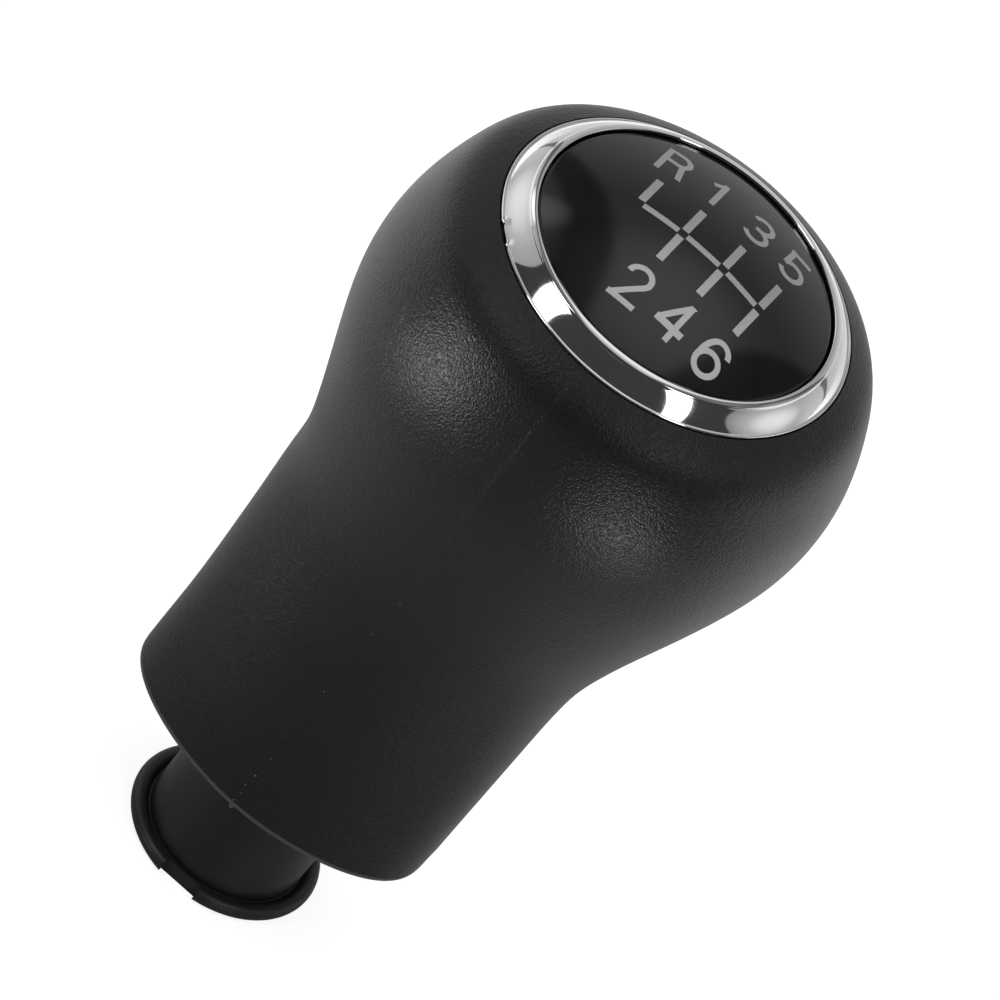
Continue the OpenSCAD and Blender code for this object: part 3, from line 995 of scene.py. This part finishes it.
# A pale table, brought up to white for the camera. For the knob's gloss the floor glows by place, a
# painted reflection:
# dark in front, where the room is dark, with a painted shadow close to the foot, paler behind, and one
# painted bright place at the back on the left.
floor_colour = 0.36
floor_glow = 0.86
white_floor, tree, shader = new_material("white_floor", (floor_colour,) * 3, 0.9)
shader.inputs["Specular IOR Level"].default_value = 0.0
path = add(tree, "LightPath").outputs
place = place_in(tree)


def fade(tree, value, start, end, first=0.0, last=1.0):
    """A soft step from one tone to another between two places."""
    return add(tree, "MapRange", {
        "Value": value, "From Min": start, "From Max": end, "To Min": first, "To Max": last
    }, interpolation_type="SMOOTHSTEP").outputs["Result"]


seen = maths(tree, "MAXIMUM", path["Is Camera Ray"], path["Is Transmission Ray"])
depth = add(tree, "SeparateXYZ", {0: place}).outputs["Y"]
away = add(tree, "VectorMath", {0: place}, operation="LENGTH").outputs["Value"]
# Painted reflection for the knob's gloss: paler beside than straight behind, dimmed close to the foot as
# a painted shadow, and none in front
beside = fade(tree, maths(tree, "DIVIDE", depth, away), 0.72, 0.93, 1.0, 0.5)
behind = maths(tree, "MULTIPLY", beside, fade(tree, away, 0.04, 0.13, 0.25, 1.0))
behind = maths(tree, "MULTIPLY", behind, fade(tree, depth, -0.035, 0.02))
# A painted bright place on the floor at the back on the left, seen only in the knob's gloss
spot = add(tree, "VectorMath", {0: place, 1: (-0.07, 0.24, 0)}, operation="DISTANCE").outputs["Value"]
painted_floor_reflection = maths(tree, "ADD", behind, fade(tree, spot, 0.15, 0.08, 0.0, 0.3))
backdrop = maths(tree, "MULTIPLY", seen, floor_glow)
light = maths(tree, "MULTIPLY_ADD", path["Is Glossy Ray"], painted_floor_reflection, backdrop)
glow = add(tree, "Emission", {"Strength": light})
both = add(tree, "AddShader", {0: shader.outputs[0], 1: glow.outputs[0]})
tree.links.new(both.outputs[0], tree.nodes["Material Output"].inputs["Surface"])
floor.data.materials.append(white_floor)

world = bpy.data.worlds.new("studio_air")
bpy.context.scene.world = world
world.use_nodes = True
air = world.node_tree
air.nodes.clear()
towards = add(air, "TexCoord").outputs["Generated"]
axes = add(air, "SeparateXYZ", {0: towards}).outputs


def ramp(tree, value, stops):
    """A smooth tone through (place, tone) stops."""
    node = add(tree, "ValToRGB", {0: value})
    row = node.color_ramp.elements
    while len(row) > 2:
        row.remove(row[-1])
    for k, (at, grey) in enumerate(stops):
        stop = row[k] if k < 2 else row.new(at)
        stop.position = at
        stop.color = (grey, grey, grey, 1)
    return node.outputs[0]


def panel(middle_azimuth, middle_elevation, stops):
    """A round panel of the room, its tone by the cosine of the angle from its middle."""
    a, e = math.radians(middle_azimuth), math.radians(middle_elevation)
    middle = (math.sin(a) * math.cos(e), -math.cos(a) * math.cos(e), math.sin(e))
    near = add(air, "VectorMath", {0: towards, 1: middle}, operation="DOT_PRODUCT").outputs["Value"]
    return ramp(air, near, stops)


# What the ring and the cap mirror: two round panels at the sides, one overhead and at the back, a small
# bright one on the left, a paler place straight up, and a wall behind
room_dark = 0.045
left_panel = panel(-112, 22, [
    (0.0, 0.0), (0.811, 0.0), (0.82, 0.36), (0.89, 0.43), (0.942, 0.53), (0.981, 0.76), (1.0, 0.87),
])
right_panel = panel(112, 22, [
    (0.0, 0.0), (0.893, 0.0), (0.9, 0.27), (0.917, 0.31), (0.965, 0.5), (0.9915, 0.81), (1.0, 0.87),
])
overhead = panel(180, 66, [(0.0, 0.0), (0.86, 0.0), (0.9, 0.32), (0.94, 0.6), (0.98, 0.9), (1.0, 1.0)])
crescent = panel(-131.5, 43.5, [(0.0, 0.0), (0.989, 0.0), (0.9965, 1.1), (1.0, 1.4)])
zenith = panel(0, 90, [(0.0, 0.0), (0.955, 0.0), (0.972, 0.36), (1.0, 0.42)])
overhead = maths(air, "MAXIMUM", overhead, zenith)
wall = ramp(air, axes["Z"], [
    (0.0, 0.62), (0.35, 0.48), (0.6, 0.32), (0.72, 0.45), (0.8, 0.1), (1.0, 0.05),
])
wall = maths(air, "MULTIPLY", wall, fade(air, axes["Y"], 0.2, 0.68))
sides = maths(air, "MAXIMUM", left_panel, right_panel)
tone = maths(air, "MAXIMUM", sides, maths(air, "MAXIMUM", overhead, wall))
# The dark gap between the side panels and the wall behind, wider towards the top
lean = maths(air, "MULTIPLY_ADD", axes["Z"], -0.36, 0.64)
beside = maths(air, "ABSOLUTE", maths(air, "SUBTRACT", maths(air, "ABSOLUTE", axes["X"]), lean))
gap_half = maths(air, "MULTIPLY_ADD", maths(air, "MAXIMUM", axes["Z"], 0.0), 0.085, 0.012)
gap = fade(air, maths(air, "DIVIDE", beside, gap_half), 0.7, 1.3, 0.3, 1.0)
tone = maths(air, "MAXIMUM", maths(air, "MULTIPLY", tone, gap), crescent)
tone = maths(air, "MAXIMUM", tone, room_dark)
room = add(air, "Background", {"Color": tone})
white = add(air, "Background", {"Color": (1, 1, 1, 1)})
paths = add(air, "LightPath").outputs
mix = add(air, "MixShader", {0: paths["Is Camera Ray"], 1: room.outputs[0], 2: white.outputs[0]})
add(air, "OutputWorld", {"Surface": mix.outputs[0]})


def lamp_at(name, direction, along, width, length, brightness, distance, aim=(0, 0, 0.09)):
    """An area light of a given brightness, its long side turned along a given direction."""
    data = bpy.data.lights.new(name, "AREA")
    data.shape = "RECTANGLE"
    data.size = width
    data.size_y = length
    data.energy = brightness * math.pi * width * length
    lamp = bpy.data.objects.new(name, data)
    bpy.context.scene.collection.objects.link(lamp)
    z = direction.normalized()
    x = along.cross(z).normalized()
    turn = Matrix((x, z.cross(x), z)).transposed()
    lamp.matrix_world = Matrix.Translation(Vector(aim) + z * distance) @ turn.to_4x4()
    lamp.visible_camera = False
    return lamp


# Tilts of the ring's band at its outer edge, in the middle and at its inner edge
band_tilts = (56, 42.4, 29)


def seen_in_band(turn, tilt):
    """The direction that the camera sees in the band, at a turn round it and a tilt of its face."""
    t, f = math.radians(turn), math.radians(tilt)
    face = Vector((math.sin(t) * math.sin(f), -math.cos(t) * math.sin(f), math.cos(f)))
    return 2 * face.dot(back) * face - back


def strip_light(name, first_turn, last_turn, brightness):
    """A strip light that crosses the ring's band between two turns."""
    outer, middle, inner = band_tilts
    middle_turn = (first_turn + last_turn) / 2
    across = (seen_in_band(last_turn, middle) - seen_in_band(first_turn, middle)).length
    along = seen_in_band(middle_turn, outer) - seen_in_band(middle_turn, inner)
    return lamp_at(name, seen_in_band(middle_turn, middle), along, across, along.length, brightness, 1.0)


def low_panel(name, azimuth, elevation, size, brightness, aim):
    """A small panel close to the foot, for one soft gleam on the side of the grip."""
    a, e = math.radians(azimuth), math.radians(elevation)
    towards_it = Vector((math.sin(a) * math.cos(e), -math.cos(a) * math.cos(e), math.sin(e)))
    lamp = lamp_at(name, towards_it, Vector((0, 0, 1)), size, size, brightness, 0.135, aim)
    lamp.data.spread = math.radians(70)
    return lamp


strip_light("left_strip", -28.2, -17.8, 3.1)
strip_light("right_strip", 25.6, 33.6, 3.6)
fill = lamp_at("overhead_fill", Vector((0, -0.1, 1)), Vector((0, 1, 0)), 1.6, 1.6, 0.9, 1.5)
fill.visible_glossy = False
low_panel("low_left_panel", -50, -27, 0.033, 5.3, (-0.012, -0.018, 0.0685))
low_panel("low_right_panel", 48, -27, 0.016, 10.0, (0.012, -0.018, 0.0675))
